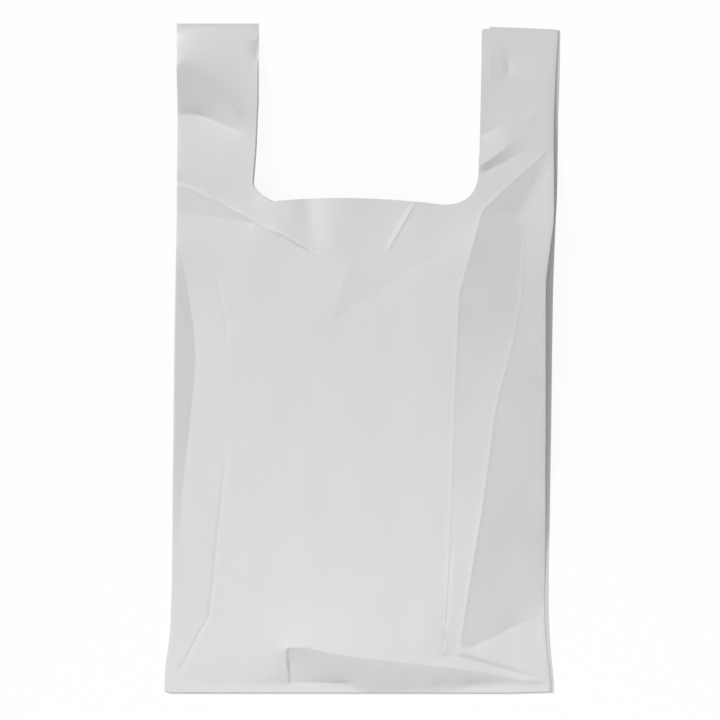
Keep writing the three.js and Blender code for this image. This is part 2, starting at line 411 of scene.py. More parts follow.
@dataclass(frozen=True)
class PanelForm:
    """The lines that give the front panel its form, read off the bag from left to right."""

    left: Spine = Spine((
        (-261, 0, 0.8), (-204, 0, 2.8), (-157, 0, 5.6), (-79, 0, 10.6), (4, 0, 14.0), (71, 0, 14.2),
        (133, 0, 12.2), (170, 0, 11.2), (193, 0, 9.8), (214, 0, 7.8), (235, 0, 5.2), (252, 0, 2.6),
        (264, 0, 0.8),
    ))
    flank: Spine = Spine((
        (-261, -90, 0.8), (-204, -88, 5.0), (-157, -87, 8.4), (-79, -85, 13.2), (4, -84, 16.6),
        (71, -84, 17.0), (133, -84, 14.0), (170, -84, 12.2), (193, -83, 10.0), (214, -82, 7.6),
        (235, -82, 5.0), (252, -82, 2.5), (264, -82, 0.8),
    ))
    inner_left: Spine = Spine((
        (-261, -52, 0.8), (-237, -52, 3.6), (-204, -52, 6.4), (-157, -52, 9.6), (-79, -54, 14.2),
        (4, -55, 17.6), (71, -55, 18.4), (133, -55, 16.6),
    ))
    middle: Spine = Spine((
        (-265, 0, 0.8), (-239, 0, 5.6), (-204, 0, 7.9), (-157, 0, 10.6), (-79, 0, 14.9), (4, 0, 18.7),
        (71, 0, 20.4), (133, 0, 19.4),
    ))
    inner: Spine = Spine((
        (-265, 52, 0.8), (-244, 53, 4.8), (-204, 54, 8.0), (-157, 55, 10.8), (-79, 57, 15.0),
        (4, 59, 19.3), (71, 66, 22.8), (112, 82, 19.4), (133, 89, 16.8), (170, 91, 10.4),
        (193, 92, 7.4), (230, 93, 3.4), (252, 94, 1.3), (261, 94, 0.8),
    ))
    crest: Spine = Spine((
        (-261, 64, 0.8), (-245, 64.8, 4.6), (-204, 66.6, 7.9), (-157, 68.2, 10.7), (-79, 71, 14.9),
        (-16, 73.4, 18.2), (22, 75, 20.6), (51.4, 76.3, 22.6), (84, 85.6, 22.2), (117.2, 95, 18.4),
        (140.4, 119.3, 12.4), (167, 149.5, 5.9), (193, 151, 3.6), (230, 152, 2.0), (252, 152, 1.2),
        (261, 152, 0.8),
    ), cornered=True)
    pleat: Spine = Spine((
        (-261, 76, 0.8), (-245, 76.6, 4.3), (-222, 78.4, 6.5), (-166, 87, 10.1), (-124, 94, 11.9),
        (-83, 99.6, 13.4), (-41, 105, 14.8), (-28, 108.3, 15.1), (20, 120.2, 15.6), (46, 124.8, 15.9),
        (68, 126.6, 15.8), (101, 127.4, 14.2), (114, 125.8, 12.8), (140.4, 139.5, 8.6),
        (167, 150.2, 5.6), (193, 151.6, 3.4), (230, 152.6, 1.9), (252, 152.6, 1.1), (261, 152.6, 0.8),
    ), cornered=True)
    right: Spine = Spine((
        (-261, 0, 0.8), (-204, 0, 0.9), (-157, 0, 1.9), (-112, 0, 5.4), (-79, 0, 7.6), (-33, 0, 10.2),
        (4, 0, 12.4), (46, 0, 13.8), (71, 0, 14.2), (102, 0, 12.6), (133, 0, 9.2), (167, 0, 5.4),
        (193, 0, 3.2), (230, 0, 1.8), (252, 0, 1.1), (261, 0, 0.8),
    ))
    # A crease's white lightens its line: real crease whitening, and on the raised lines mostly a
    # painted highlight.
    creases: tuple[Crease, ...] = (
        # Left handle: a dark facet between a ridge and a hollow, and a pinch in its top corner
        Crease((
            (-146.4, 235.0, 11.2), (-128, 221.5, 7.4), (-112, 207, 3.9), (-97, 193, 1.0),
        ), white=0.2),
        Crease(((-146.2, 194.5, -4.2), (-128, 193, -5.4), (-112, 186.5, -3.8), (-93, 178, -1.0))),
        Crease(((-84.2, 253, 0.2), (-95.2, 253, 0.6), (-92, 246, 0.8), (-85, 236, 0.3))),
        Crease(((-83.5, 250.5, -0.7), (-83.5, 245, -1.0), (-83.5, 240, -0.6))),
        # Left shoulder: a long pressed fold that runs down into the panel, with its hollow beneath
        Crease(((-145, 149.5, 1.1), (-132, 140.0, 1.0), (-119, 130.5, 0.7))),
        Crease((
            (-145.2, 140.4, 0.4), (-135.1, 136.7, 0.4), (-116.3, 126.5, 0.4), (-94.4, 115.8, 0.5),
        ), white=0.6),
        Crease((
            (-145.5, 137.7, 1.4), (-136, 134.3, 1.4), (-117, 124.8, 1.1), (-95, 114.5, 0.9),
            (-79, 105.5, 0.9), (-62, 97.8, 0.9), (-50, 90.9, 0.6), (-29, 79.5, 0.1),
        ), pinch=0.3, white=0.9),
        Crease(((-146, 116, -1.1), (-118, 112, -0.8), (-88, 107, -0.3))),
        Crease(((-66, 96.5, -0.2), (-50, 87.5, -0.8), (-32, 78.3, -0.3))),
        Crease(((-71, 123.5, 0.7), (-59, 112, 0.5), (-49, 102, 0.2)), pinch=0.12, white=0.3),
        # Under the mouth: a shallow facet that comes to a point, and a pressed line beside it
        Crease(((-21, 32.6, 0.1), (-21.8, 37, 0.3), (-17, 55.7, 0.7), (-10.7, 71.6, 0.5)), white=0.1),
        Crease((
            (-20, 32.0, -0.1), (4.4, 46.2, -0.7), (26.6, 62.1, -1.0), (52, 78, -0.8),
            (75.8, 93.8, -0.4), (92, 104, 0.0),
        ), white=0.15),
        Crease(((41.7, 123.5, 0.4), (30, 103, 0.4), (19.4, 84.3, 0.1)), pinch=0.3, white=0.8),
        # Right handle: a light facet under a fold, and a narrow dark band below it
        Crease(((96, 177.1, -1.8), (107.5, 183.6, -1.1), (114, 180.0, -0.3)), white=0.1),
        Crease((
            (95.4, 153.4, 1.5), (104, 159.4, 1.2), (112, 165.6, 0.5), (118, 171.6, 0.0),
        ), white=0.1),
        # A dent near the top of the right handle, sharp at its right rim
        Crease((
            (112.2, 242.1, -0.5), (116.3, 235.7, -1.3), (116.9, 229.2, -1.3), (113.1, 222.9, -0.5),
        )),
        Crease((
            (109.0, 239.4, -0.2), (111.0, 234.2, -0.3), (111.2, 229.6, -0.3), (109.4, 224.8, -0.2),
        )),
        Crease(((102.4, 240, 0.2), (101.6, 232, 0.3), (102.6, 224, 0.2))),
        Crease(((94.8, 146.4, -0.8), (120, 159.6, -1.1), (150, 176.4, -0.4)), white=0.2),
        # Left side: the hollow beside the fold, and a long soft crease in two lengths
        Crease((
            (-144.5, 86, 0.0), (-141.4, 76, -0.5), (-137, 51.8, -1.4), (-132.9, 24, -2.0),
            (-131.3, -2, -2.1), (-134.5, -37, -1.7), (-137.7, -65, -1.2), (-142.2, -106, -0.6),
            (-145, -154, 0.0),
        ), white=0.1),
        Crease((
            (-146.2, 86, 0.0), (-146.6, 52, 0.7), (-147.0, 24, 1.2), (-147.4, -2, 1.4),
            (-147.8, -37, 1.4), (-148.2, -65, 1.2), (-148.8, -106, 0.7), (-149.4, -154, 0.1),
        )),
        Crease((
            (-114.7, 66, -0.2), (-112.3, 54, -0.5), (-107.5, 29, -0.7), (-105, -10, -0.2),
        ), pinch=-0.15),
        Crease((
            (-107.5, -77, -0.1), (-110.7, -106, -0.2), (-114, -136, -0.2), (-118, -176, -0.2),
            (-121.8, -205, -0.2), (-130.5, -221, -0.2), (-146, -250, 0.0),
        ), pinch=-0.3),
        # Bottom right: where the side panel ends, and two low folds along the weld
        Crease((
            (80, -230.5, 0.2), (90, -228.3, -0.9), (118, -214, -1.7), (144, -203, -0.3),
        ), white=0.2),
        Crease((
            (-60.7, -229.2, 4.0), (-44.8, -228.6, 4.2), (-17, -234.7, 3.2), (-1, -237.1, 2.6),
            (70, -245, 1.3), (94, -248.4, 1.1), (133.7, -256, 0.4), (146, -258.6, 0.0),
        ), white=0.15),
        Crease(((-57.5, -257.6, -0.4), (-31, -257.6, -0.5), (-10, -257.6, -0.3)), white=0.1),
        Crease(((-60.7, -229.2, 4.0), (-59.8, -243, 2.0), (-58.3, -256.4, 0.2)), white=0.1),
        Crease(((-58.4, -230.6, 3.2), (-57.4, -243, 0.8), (-56.2, -256.4, -0.3))),
        Crease((
            (66, -235.8, -0.2), (78, -236.8, -0.4), (100, -243.6, -0.3), (144, -254.6, 0.0),
        ), white=0.1),
        Crease(((79.7, -232.4, 0.6), (112, -242.6, 0.6), (143, -252.6, 0.1))),
        Crease(((71.5, -146.6, 0.0), (68, -190, 0.2), (64.9, -232, 0.2)), pinch=-0.15, white=0.1),
    )
    rolls: tuple[Roll, ...] = (
        Roll(((-43, 128, -2.0), (-41, 108, -1.6), (-37, 84, -0.6), (-33, 66, 0)), 9.0),
        Roll(((-17, 128, 0.9), (-22, 100, 0.7), (-27, 70, 0)), 13.0),
        Roll(((131, 190, 0.3), (135, 192, 0.3)), 4.0),
        Roll(((-79, 122, 0.7), (-66, 108, 0.6), (-54, 99, 0)), 5.0),
    )


@dataclass
class Panel:
    """An outer ply: its points in plan, its triangles and the height at every point."""

    cut: FlatCut
    form: PanelForm
    ply: Ply = Ply.FRONT
    spacing: float = 3.2  # between the points of the grid
    beside: float = 0.8  # from a sharp line to the points that follow it on both sides
    beside_clear: float = 0.85  # how clear those keep of other points, as a share of beside
    grid_clear: float = 0.55  # how clear the grid keeps, as a share of its spacing
    crest_reach: Pair = (-236.0, 166.0)
    pleat_reach: Pair = (-233.0, 166.0)
    merge_within: float = 1e-3
    flat_beyond: float = 256.0  # the outline has no lift further up or down than this
    end_fade: Pair = (0.25, 0.3)  # a line's strength at its end, and what each point adds
    fade: float = 34.0  # how far a line's lift carries
    weights: Pair = (0.02, 20.0)  # the least and the most that two points pull at each other
    solver_steps: int = 1200
    solver_end: float = 1e-9
    seed: int = 7
    crumple: float = 0.02
    waves: int = 40
    wave_lengths: Pair = (16.0, 70.0)
    wave_turn: Pair = (0.35, 0.7)
    wave_middle: float = 40.0  # a wave of this length is as high as crumple
    bottom_y: float = -265.0
    left_top_y: float = 265.8
    right_top_y: float = 261.8
    right_top_fall: float = 0.03
    right_top_middle: float = 120.0
    weld: float = 6.0
    top_weld: float = 2.0
    rise_over: float = 3.0  # from a weld to where the film stands free
    slack_from: float = -14.0  # between these two the film comes down onto the bottom weld itself
    slack_to: float = 86.0
    slack_blend: float = 16.0
    ply_pitch: float = 0.22
    plies_below: float = 3.6
    points: Array = field(init=False)
    triangles: Array = field(init=False)
    heights: Array = field(init=False)
    whitened_and_highlit: Array = field(init=False)
    fold_points: dict[Side, Array] = field(init=False)

    def plain(self, x: Array, y: Array) -> Array:
        """The height of the puffed panel before its small folds.

        Args:
            x: N places across the bag.
            y: N places along it.

        Returns:
            The N heights.
        """
        form, cut = self.form, self.cut
        left_x = curve(cut.left_edge, y) + curve(cut.left_short, y)
        right_x = curve(cut.right_edge, y) - curve(cut.right_short, y)
        soft = (form.left, form.flank, form.inner_left, form.middle, form.inner, form.crest)
        soft_x = np.stack([left_x] + [line.x(y) for line in soft[1:]])
        height = through(soft_x, np.stack([line.z(y) for line in soft]), x)
        hard_x = np.stack([form.crest.x(y), form.pleat.x(y), right_x])
        hard_z = np.stack([line.z(y) for line in (form.crest, form.pleat, form.right)])
        for k in range(2):
            gap = np.maximum(hard_x[k + 1] - hard_x[k], TINY)
            t = np.clip((x - hard_x[k]) / gap, 0, 1)
            height = np.where(x > hard_x[k], hard_z[k] + t * (hard_z[k + 1] - hard_z[k]), height)
        return height

    def outline(self) -> Array:
        """The ply's edge, up the left fold, along the cut, down the right fold and back.

        It also notes in fold_points which of its points are on the two folds.

        Returns:
            The points of x and y along it.
        """
        cut = self.cut
        left, right = (np.stack(cut.side(side, self.ply), axis=1) for side in Side)
        left_top = spaced(np.array([left[-1], cut.left_top[1]], float), cut.step)
        right_top = spaced(np.array([*cut.right_top[:-1], right[-1]], float), cut.step)
        corners = np.array([right[0], *cut.bottom[-2:0:-1], left[0]], float)
        if self.ply is Ply.FRONT:
            corners[1:-1, 1] += cut.bottom_short
        bottom = spaced(corners, cut.step)[1:-1]
        mouth = spaced(cut.mouth(), cut.mouth_step)
        loop = np.concatenate([left, left_top[1:], mouth[1:], right_top[1:], right[::-1][1:], bottom])
        order = np.arange(len(left))
        first_right = len(loop) - len(bottom) - len(left)
        self.fold_points = {Side.LEFT: order, Side.RIGHT: first_right + order[::-1]}
        return loop

    def lines(self) -> list[tuple[Array, Crease]]:
        """Every sharp line, with the crease that it belongs to.

        Returns:
            For each line its spaced points of x, y and lift, and its crease.
        """
        form, made = self.form, []
        # The white on the crest and the pleat paints a highlight along them, beside the film's crease
        # whitening.
        spines = (
            (form.crest, self.crest_reach, Crease((), pinch=0.1, white=0.3)),
            (form.pleat, self.pleat_reach, Crease((), pinch=0.12, white=0.5)),
        )
        for spine, (low, high), crease in spines:
            path = spine.path(self.cut.step)
            made.append((path[(path[:, 1] > low) & (path[:, 1] < high)], crease))
        for crease in form.creases:
            made.append((spaced(np.array(crease.points), self.cut.step), crease))
        return made

    def plan(self) -> tuple[list[Array], list[tuple[int, int]], list[Span]]:
        """The points and lines that the triangles have to follow.

        Returns:
            The groups of points, of which the first is the outline, the edges between them, and
            for each sharp line its first point, its end and its crease.
        """
        loop = self.outline()
        groups = [loop]
        edges = [(k, (k + 1) % len(loop)) for k in range(len(loop))]
        spans = []
        start = len(loop)
        for line, crease in self.lines():
            path = line[inside(line[:, :2], loop)]
            if len(path) < 2:
                continue
            groups.append(path)
            edges += [(start + k, start + k + 1) for k in range(len(path) - 1)]
            spans.append((start, start + len(path), crease))
            start += len(path)
        return groups, edges, spans

    def filled(self, fixed: Array, loop: Array, spans: list[Span]) -> Array:
        """Adds points beside the sharp lines and a grid of points over the rest of the ply.

        Args:
            fixed: The points of the outline and of the lines.
            loop: The outline.
            spans: Where each line's points are in the fixed ones.

        Returns:
            The fixed points and then the added ones.
        """
        pairs = []
        for start, end, _ in spans:
            path = fixed[start:end]
            along = np.gradient(path, axis=0)
            across = np.stack([-along[:, 1], along[:, 0]], axis=1)
            across *= self.beside / np.maximum(np.hypot(*across.T), TINY)[:, None]
            pairs += list(path + across) + list(path - across)
        beside = np.array(pairs)
        clear = clear_of(beside, fixed, self.beside_clear * self.beside)
        taken = np.concatenate([fixed, beside[clear & inside(beside, loop)]])
        rise = self.spacing * math.sqrt(3) / 2
        ys = np.arange(loop[:, 1].min(), loop[:, 1].max(), rise)
        xs = np.arange(loop[:, 0].min(), loop[:, 0].max(), self.spacing)
        grid = np.array([(x + (k % 2) * self.spacing / 2, y) for k, y in enumerate(ys) for x in xs])
        grid = grid[inside(grid, loop)]
        return np.concatenate([taken, grid[clear_of(grid, taken, self.grid_clear * self.spacing)]])

    def build(self) -> None:
        """Lays out the points, joins them into triangles and lifts them to their heights."""
        groups, edges, spans = self.plan()
        outline = len(groups[0])
        every = self.filled(np.concatenate([group[:, :2] for group in groups]), groups[0], spans)
        flat = [Vector((float(p[0]), float(p[1]))) for p in every]
        inside_only = 1  # Blender's number for keeping just the triangles within the outline
        around = [list(range(outline))]
        made = delaunay_2d_cdt(flat, edges, around, inside_only, self.merge_within)
        self.points = np.array([(v.x, v.y) for v in made[0]])
        self.triangles = np.array([face for face in made[2] if len(face) == 3])
        became = {k: new for new, old in enumerate(made[3]) for k in old}
        self.fold_points = {
            side: np.array([became[int(k)] for k in ids]) for side, ids in self.fold_points.items()
        }
        lifts = {became[k]: 0.0 for k in range(outline) if abs(every[k][1]) > self.flat_beyond}
        row = np.concatenate([np.zeros(outline)] + [group[:, 2] for group in groups[1:]])
        pinch, self.whitened_and_highlit = np.zeros((2, len(self.points)))
        at_end, per_point = self.end_fade
        for start, end, crease in spans:
            for k in range(start, end):
                new = became[k]
                strength = min(1.0, at_end + per_point * min(k - start, end - 1 - k))
                pinch[new] = crease.pinch * strength
                # How white the point is: crease whitening and a painted highlight along raised creases.
                self.whitened_and_highlit[new] = max(self.whitened_and_highlit[new], crease.white * strength)
                if crease.points:
                    lifts[new] = float(row[k])
        height = self.plain(*self.points.T) + self.spread(lifts)
        for roll in self.form.rolls:
            distance, lift = near_path(self.points, np.array(roll.points))
            height += lift * np.exp(-((distance / roll.width) ** 2))
        height += pinch + self.crumpled()
        self.heights = self.welded(height)

    def spread(self, lifts: dict[int, float]) -> Array:
        """Carries the lifts of the sharp lines out into the film, fading with distance.

        Args:
            lifts: The lift of each point that is held, by its number.

        Returns:
            The lift of every point.
        """
        corners = self.points[self.triangles]
        weight_at: list[Array] = []
        for k in range(3):
            a, b = corners[:, (k + 1) % 3] - corners[:, k], corners[:, (k + 2) % 3] - corners[:, k]
            area2 = np.maximum(np.abs(a[:, 0] * b[:, 1] - a[:, 1] * b[:, 0]), TINY)
            weight_at.append(np.clip((a * b).sum(axis=1) / area2 / 2, *self.weights))
        one = np.concatenate([self.triangles[:, (k + 1) % 3] for k in range(3)])
        two = np.concatenate([self.triangles[:, (k + 2) % 3] for k in range(3)])
        weight = np.concatenate(weight_at)
        count = len(self.points)
        share = np.repeat(area2 / 6, 3)  # a third of the triangle's area to each of its corners
        mass = np.bincount(self.triangles.ravel(), share, count) / self.fade**2
        diagonal = np.bincount(one, weight, count) + np.bincount(two, weight, count) + mass
        held = np.zeros(count, bool)
        lift = np.zeros(count)
        for k, value in lifts.items():
            held[k] = True
            lift[k] = value

        def pull(z: Array) -> Array:
            """How hard the film pulls at each point of a shape."""
            from_two = np.bincount(one, weight * z[two], count)
            return diagonal * z - from_two - np.bincount(two, weight * z[one], count)

        residual = np.where(held, 0, -pull(lift))
        step = residual / diagonal
        score = residual @ step
        for _ in range(self.solver_steps):
            if score < self.solver_end:
                break
            pulled = np.where(held, 0, pull(step))
            length = score / (step @ pulled)
            lift += length * step
            residual -= length * pulled
            eased = residual / diagonal
            new_score = residual @ eased
            step = eased + new_score / score * step
            score = new_score
        return lift

    def crumpled(self) -> Array:
        """The slight unevenness of thin film, the same on every run.

        Returns:
            The lift of every point.
        """
        random = np.random.default_rng(self.seed)
        x, y = self.points.T
        made = np.zeros(len(x))
        for _ in range(self.waves):
            length = random.uniform(*self.wave_lengths)
            angle = random.normal(*self.wave_turn)
            turn = random.uniform(0, math.tau)
            along = x * math.cos(angle) + y * math.sin(angle)
            made += self.crumple * length / self.wave_middle * np.sin(along * math.tau / length + turn)
        return made

    def welded(self, height: Array) -> Array:
        """Presses the film down in the welded bands and keeps it above its lower plies.

        Args:
            height: The height of every point as the folds leave it.

        Returns:
            The height of every point as the welds leave it.
        """
        x, y = self.points.T
        low = self.plies_below * self.ply_pitch
        right_top = self.right_top_y - self.right_top_fall * (x - self.right_top_middle)
        top = np.where(x < 0, self.left_top_y, right_top)
        slack = np.clip((x - self.slack_from) / self.slack_blend, 0, 1)
        slack = slack * np.clip((self.slack_to - x) / self.slack_blend, 0, 1)
        over_bottom = y - self.bottom_y - self.weld * (1 - slack)
        t = np.clip(np.minimum(over_bottom, top - y - self.top_weld) / self.rise_over, 0, 1)
        held = t * t * (3 - 2 * t)
        return low + np.maximum(height - low, 0) * held


@dataclass
class Film:
    """The film as one growing mesh in millimetres, with how white each point is creased, partly real
    crease whitening and partly painted highlight.
    """

    points: list[tuple[float, float, float]] = field(default_factory=list)
    faces: list[tuple[int, ...]] = field(default_factory=list)
    white: list[float] = field(default_factory=list)

    def add(self, points: Array, faces: list[tuple[int, ...]], white: Array) -> None:
        """Adds a ply.

        Args:
            points: The ply's points of x, y and z.
            faces: Its faces, by the numbers of those points.
            white: How white each point is creased, partly real crease whitening and partly a painted
                highlight.
        """
        start = len(self.points)
        self.points += [tuple(float(v) for v in p) for p in points]
        self.faces += [tuple(int(k) + start for k in face) for face in faces]
        self.white += [float(v) for v in white]

    def add_grid(self, grid: Array, keep: Array | None = None) -> None:
        """Adds a grid of points, rows by columns by three, joined into quads.

        Args:
            grid: The points.
            keep: Which gaps between two rows are filled, or all of them.
        """
        rows, columns = grid.shape[:2]
        filled = [r for r in range(rows - 1) if keep is None or keep[r]]
        corners = [r * columns + c for r in filled for c in range(columns - 1)]
        faces = [(at, at + 1, at + columns + 1, at + columns) for at in corners]
        self.add(grid.reshape(-1, 3), faces, np.zeros(rows * columns))


@dataclass
class Gusset:
    """One tucked-in side: two plies from the outer folds in to the inner fold, and both folds."""

    cut: FlatCut
    front: Panel
    side: Side
    back_z: float = 0.12
    gap: float = 0.45  # between two plies that lie together
    gap_share: float = 1 / 4  # and at most this much of the room
    fold_share: float = 1 / 8  # a fold's radius, at most this much of the room
    peek: float = 0.7  # how far the gusset shows past the cut
    left_corner_y: float = 124.0
    right_corner_y: float = 122.4
    opens_over: float = 95.0  # how far below the mouth the gusset starts to open
    crowding: float = 0.9
    rounded: float = 0.86  # an opened gusset is round beyond this share of its depth
    tight_power: float = 1.1
    edge_blend: float = 6.0
    closing: float = 0.3
    whole: float = 0.9999  # the die has cut a row whose share of the depth is less
    over_all: float = 100.0  # a height above all the film
    columns: int = 22
    fold_steps: int = 6

    def corner_y(self) -> float:
        """The height of the mouth's corner on this side."""
        return self.left_corner_y if self.side is Side.LEFT else self.right_corner_y

    def build(self, film: Film) -> None:
        """Adds the plies and folds.

        Args:
            film: The film that they go into.
        """
        side, depth = self.side.value, self.cut.gusset_depth
        edge_x, y = self.cut.side(self.side, Ply.FRONT)
        back_x, back_y = self.cut.side(self.side, Ply.BACK)
        edge_z = self.front.heights[self.front.fold_points[self.side]]
        reach, is_cut = self.reach(edge_x, y)
        spread = np.sin(np.linspace(0, math.pi / 2, self.columns)) ** self.crowding
        share = reach[:, None] * spread[None]
        x = edge_x[:, None] - side * share * depth
        flat_y = np.repeat(y[:, None], self.columns, axis=1)
        upper, lower = self.heights(x, flat_y, share, edge_z)
        film.add_grid(np.stack([x, flat_y, upper], axis=2))
        slide = (1 - spread[None]) ** 2
        under_x = x + slide * (back_x - edge_x)[:, None]
        under_y = flat_y + slide * (back_y - y)[:, None]
        film.add_grid(np.stack([under_x, under_y, lower], axis=2))
        back_z = np.full_like(edge_z, self.back_z)
        keep = ~is_cut[1:] & ~is_cut[:-1]
        self.fold(film, (edge_x, y), (edge_z, upper[:, 0]), side)
        self.fold(film, (back_x, back_y), (lower[:, 0], back_z), side)
        self.fold(film, (x[:, -1], y), (upper[:, -1], lower[:, -1]), -side, keep)

    def reach(self, edge_x: Array, y: Array) -> Arrays:
        """How far in the gusset goes, to its inner fold or to the die's cut.

        Args:
            edge_x: The x of the outer fold at every row.
            y: The height of every row.

        Returns:
            The share of the full depth at every row, and which rows are cut short.
        """
        side, depth = self.side.value, self.cut.gusset_depth
        inner_x = edge_x - side * depth
        cut_x = self.cut.cut_x(self.side, y) - side * self.peek
        at_mouth = y > self.corner_y()
        limit_x = np.where(at_mouth & (side * cut_x > side * inner_x), cut_x, inner_x)
        share = (edge_x - limit_x) * side / depth
        return share, at_mouth & (share < self.whole)

    def heights(self, x: Array, y: Array, share: Array, edge_z: Array) -> Arrays:
        """How high the gusset's two plies stand, in the room between the back and the front.

        Args:
            x: Where the points are across the bag, rows by columns.
            y: Where they are along it.
            share: How far in from the outer fold they are, as a share of the full depth.
            edge_z: The height of the front ply's fold at every row.

        Returns:
            The heights of the upper and of the lower ply.
        """
        radius = np.minimum(self.cut.fold_radius, (edge_z - self.back_z) * self.fold_share)
        above = self.front_over(x, y)
        spare = above - self.back_z
        gap = np.minimum(self.gap, spare * self.gap_share)
        bottom, top = self.back_z + gap, above - gap
        middle = (0.5 * (top[:, -1:] + bottom[:, -1:])) * np.ones_like(share)
        start_top = (edge_z - 2 * radius)[:, None]
        start_bottom = self.back_z + 2 * radius[:, None]
        past = np.clip((share - self.rounded) / (1 - self.rounded), 0, 1)
        wall = np.sqrt(np.maximum(0, 1 - past**2))
        tight = 1 - share**self.tight_power
        opened = np.clip((y[:, :1] - (self.corner_y() - self.opens_over)) / self.opens_over, 0, 1)
        opened = opened * opened * (3 - 2 * opened)
        profile = tight + (wall - tight) * opened
        near_edge = np.clip(share * self.cut.gusset_depth / self.edge_blend, 0, 1)
        lid = top + (start_top - top) * (1 - near_edge)
        base = bottom + (start_bottom - bottom) * (1 - near_edge)
        lid = np.maximum(lid, base)
        closing = np.minimum(self.closing, spare * self.fold_share)
        upper = np.minimum(lid, middle + closing + profile * (lid - middle - closing))
        lower = np.maximum(base, middle - closing - profile * (middle - closing - base))
        return upper, np.minimum(lower, upper)

    def fold(
        self, film: Film, edge: Arrays, between: Arrays, outwards: int, keep: Array | None = None
    ) -> None:
        """Adds a rounded fold that joins two plies whose edges lie one above the other.

        Args:
            film: The film that it goes into.
            edge: The x and the y of the two edges at every row.
            between: How high the upper and the lower edge lie.
            outwards: 1 where the fold bulges to the right and -1 where it bulges to the left.
            keep: Which gaps between two rows are filled, or all of them.
        """
        (x, y), (top, bottom) = edge, between
        turn = np.linspace(0, math.pi, self.fold_steps + 1)
        half = ((top - bottom) / 2)[:, None]
        centre = ((top + bottom) / 2)[:, None]
        reach = np.minimum(half, self.cut.fold_radius)
        z = centre + half * np.cos(turn)[None]
        out = x[:, None] + outwards * reach * np.sin(turn)[None]
        rows = np.repeat(y[:, None], len(turn), axis=1)
        film.add_grid(np.stack([out, rows, z], axis=2), keep)

    def front_over(self, x: Array, y: Array) -> Array:
        """Reads how high the front ply is over the gusset.

        Args:
            x: Where to read it across the bag.
            y: Where to read it along the bag.

        Returns:
            The heights, or the nearest one where no film is overhead.
        """
        tree = BVHTree.FromPolygons(
            [(p[0], p[1], z) for p, z in zip(self.front.points, self.front.heights)],
            [tuple(int(k) for k in face) for face in self.front.triangles],
        )
        down = Vector((0, 0, -1))
        heights = np.zeros(x.shape)
        for place in np.ndindex(x.shape):
            start = Vector((float(x[place]), float(y[place]), self.over_all))
            hit = tree.ray_cast(start, down)[0]
            if hit is None:
                hit = tree.find_nearest(Vector((start.x, start.y, self.over_all / 10)))[0]
            heights[place] = hit.z
        return heights


@dataclass
class CarrierBag:
    """The whole bag: front ply, both gussets and back ply as one sheet of film."""

    cut: FlatCut = field(default_factory=FlatCut)
    form: PanelForm = field(default_factory=PanelForm)
    film_thickness: float = 0.14
    back_z: float = 0.12
    back_spacing: float = 7.0
    merge_within: float = 0.01
    sliver: float = 0.002
    smooth_degrees: float = 50.0
    tube_width: float = 928.0
    cut_length: float = 530.0
    film_area: float = 0.423  # square metres

    def build(self, material: Material) -> Object:
        """Makes the bag's mesh and dresses it.

        Args:
            material: What the film is made of.

        Returns:
            The bag.
        """
        front = Panel(self.cut, self.form)
        front.build()
        log.info("front ply: %d points, %d triangles", len(front.points), len(front.triangles))
        film = Film()
        points = np.column_stack([front.points, front.heights])
        film.add(points, [tuple(face) for face in front.triangles], front.whitened_and_highlit)
        self.add_back(film)
        for side in Side:
            Gusset(self.cut, front, side, self.back_z).build(film)
            log.info("%s gusset: %d faces so far", side.name.lower(), len(film.faces))
        return self.dressed(film, material)

    def add_back(self, film: Film) -> None:
        """Adds the back ply, which lies flat on the table.

        Args:
            film: The film that it goes into.
        """
        plain = PanelForm(creases=(), rolls=())
        back = Panel(self.cut, plain, Ply.BACK, spacing=self.back_spacing)
        back.build()
        count = len(back.points)
        points = np.column_stack([back.points, np.full(count, self.back_z)])
        film.add(points, [tuple(face[::-1]) for face in back.triangles], np.zeros(count))

    def cleaned(self, mesh: Mesh) -> None:
        """Joins the plies where they meet, drops slivers and loose points, and turns the faces out.

        Args:
            mesh: The film's mesh, which is changed.
        """
        work = bmesh.new()
        work.from_mesh(mesh)
        bmesh.ops.remove_doubles(work, verts=work.verts, dist=self.merge_within * MM)
        bmesh.ops.dissolve_degenerate(work, edges=work.edges, dist=self.sliver * MM)
        loose = [v for v in work.verts if not v.link_faces]
        bmesh.ops.delete(work, geom=loose, context="VERTS")
        bmesh.ops.recalc_face_normals(work, faces=work.faces)
        work.to_mesh(mesh)
        work.free()

    def dressed(self, film: Film, material: Material) -> Object:
        """Turns the film into one object with a wall, in metres, fitted to the CAD box.

        Args:
            film: The whole film.
            material: What it is made of.

        Returns:
            The bag.
        """
        low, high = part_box("bag")
        scale = [(high[k] - low[k]) / NOMINAL[k] for k in range(3)]
        centre = [(high[0] + low[0]) / 2, (high[1] + low[1]) / 2, low[2]]
        points = [tuple(centre[k] + scale[k] * p[k] for k in range(3)) for p in film.points]
        mesh = bpy.data.meshes.new("bag_film")
        mesh.from_pydata(points, [], film.faces)
        # The crease attribute carries crease whitening and a painted highlight along raised creases.
        creased = mesh.attributes.new("crease", "FLOAT", "POINT")
        creased.data.foreach_set("value", np.array(film.white, np.float32))
        bag = placed("bag_film", mesh)
        self.cleaned(mesh)
        bpy.ops.object.select_all(action="DESELECT")
        bpy.context.view_layer.objects.active = bag
        bag.select_set(True)
        wall = bag.modifiers.new("wall", "SOLIDIFY")
        wall.thickness = self.film_thickness * MM
        wall.offset = 0
        bpy.ops.object.modifier_apply(modifier="wall")
        bpy.ops.object.shade_smooth_by_angle(angle=math.radians(self.smooth_degrees))
        bag.data.materials.append(material)
        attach(bag, "root")
        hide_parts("bag")
        log.info("bag_film: %d faces", len(bag.data.polygons))
        return bag


# Finishes and helpers for Blender's data


def placed(name: str, data: ID) -> Object:
    """Puts a mesh, a lamp or a camera into the scene as an object.

    Args:
        name: The object's name.
        data: What it shows.

    Returns:
        The object.
    """
    made = bpy.data.objects.new(name, data)
    bpy.context.scene.collection.objects.link(made)
    return made


